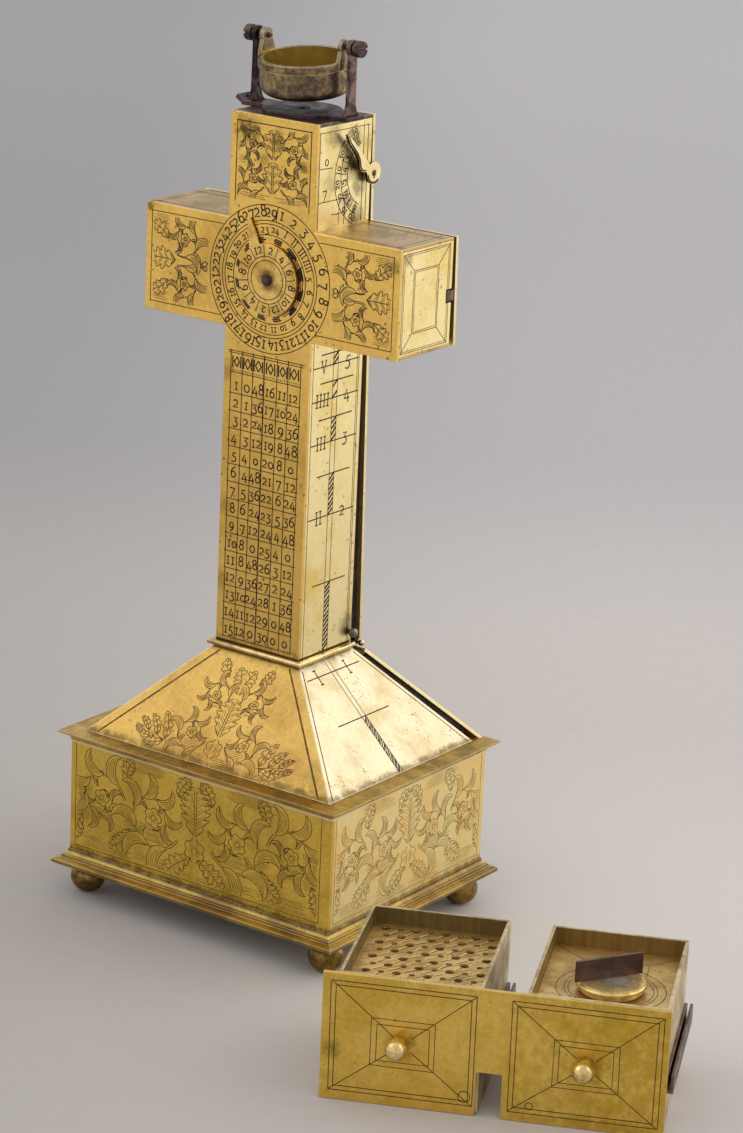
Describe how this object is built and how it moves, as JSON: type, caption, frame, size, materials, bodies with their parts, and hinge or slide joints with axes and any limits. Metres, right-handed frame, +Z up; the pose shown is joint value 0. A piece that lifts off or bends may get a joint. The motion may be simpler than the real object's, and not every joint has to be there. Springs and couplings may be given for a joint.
{
  "type": "crucifix sundial",
  "caption": "Hollow gilt-brass cross dial on a box base, with lunar dial, index hand, swinging compass bowl, hinged back and a writing drawer lying in front.",
  "frame": {"origin": "on the table, under the middle of the base box, at the level of the four feet", "axes": "+Z up; -Y towards the front with the dial; +X to the right seen from the front"},
  "size_m": [0.2256, 0.1409, 0.2561],
  "materials": {
    "gilt": "worn fire gilding on sheet brass",
    "bright_gilt": "bright worn gilding",
    "dull_brass": "tarnished brass",
    "dark_bronze": "dark patinated bronze",
    "iron": "dull iron"
  },
  "bodies": {
    "case": {"front_plate": "gilt", "shaft_side_left": "bright_gilt", "shaft_side_right": "bright_gilt", "arm_top_left": "dull_brass", "arm_top_right": "dull_brass", "arm_underside_left": "dull_brass", "arm_underside_right": "dull_brass", "arm_end_left": "bright_gilt", "arm_end_right": "bright_gilt", "head_side_left": "bright_gilt", "head_side_right": "bright_gilt", "head_cap": "dull_brass", "collar_plate": "gilt", "roof_front": "gilt", "roof_left": "bright_gilt", "roof_right": "bright_gilt", "cornice_strips": "dull_brass", "base_front": "gilt", "base_left": "bright_gilt", "base_right": "bright_gilt", "base_floor": "dull_brass", "plinth_strips": "dull_brass", "drawer_rails": "dull_brass", "ball_feet": "gilt", "foot_rivets": "dull_brass", "hinge_bracket": "dull_brass", "hinge_pin": "gilt", "dial_rivet": "iron", "dial_washer": "dull_brass", "hand_rivet": "iron", "yoke_base": "dark_bronze", "yoke_pillars": "dark_bronze", "yoke_screw": "dull_brass", "pivot_screws": "dark_bronze"},
    "cover": {"back_cover": "gilt", "cover_flange": "dark_bronze", "cover_catches": "dark_bronze"},
    "flap": {"roof_flap": "gilt", "flap_flange": "dark_bronze", "flap_cornice": "dull_brass"},
    "lunar_disc": {"lunar_disc": "gilt"},
    "index_hand": {"index_hand": "bright_gilt"},
    "compass_bowl": {"compass_bowl": "dull_brass"},
    "retaining_pin": {"retaining_pin": "iron"},
    "drawer": {"drawer_front": "gilt", "drawer_knobs": "gilt", "drawer_runners": "dark_bronze", "sander_box": "bright_gilt", "sander_plate": "gilt", "ink_box": "bright_gilt", "ink_plate": "dull_brass", "ink_pot": "dull_brass"},
    "ink_lid": {"ink_lid": "gilt", "lid_fin": "dark_bronze"}
  },
  "joints": [
    {"name": "cover_hinge", "type": "hinge", "parent": "case", "child": "cover", "pos_m": [0, 0.0181, 0.078], "axis": [-1, 0, 0], "range_deg": [0, 95]},
    {"name": "flap_hinge", "type": "hinge", "parent": "case", "child": "flap", "pos_m": [0, 0.0181, 0.078], "axis": [1, 0, 0], "range_deg": [0, 40]},
    {"name": "lunar_disc_turn", "type": "hinge", "parent": "case", "child": "lunar_disc", "pos_m": [0, -0.0125, 0.1885], "axis": [0, -1, 0], "continuous": true},
    {"name": "index_hand_turn", "type": "hinge", "parent": "case", "child": "index_hand", "pos_m": [0.0163, 0.0112, 0.218], "axis": [1, 0, 0], "range_deg": [-10, 80]},
    {"name": "compass_swing", "type": "hinge", "parent": "case", "child": "compass_bowl", "pos_m": [0, 0, 0.2538], "axis": [1, 0, 0], "range_deg": [-96, 84]},
    {"name": "retaining_pin_slide", "type": "slide", "parent": "case", "child": "retaining_pin", "axis": [1, 0, 0], "range_m": [0, 0.032]},
    {"name": "drawer_slide", "type": "slide", "parent": "case", "child": "drawer", "axis": [0.4266, -0.9045, 0], "range_m": [0, 0.048]},
    {"name": "ink_lid_lift", "type": "slide", "parent": "drawer", "child": "ink_lid", "axis": [0, 0, 1], "range_m": [0, 0.02]}
  ]
}
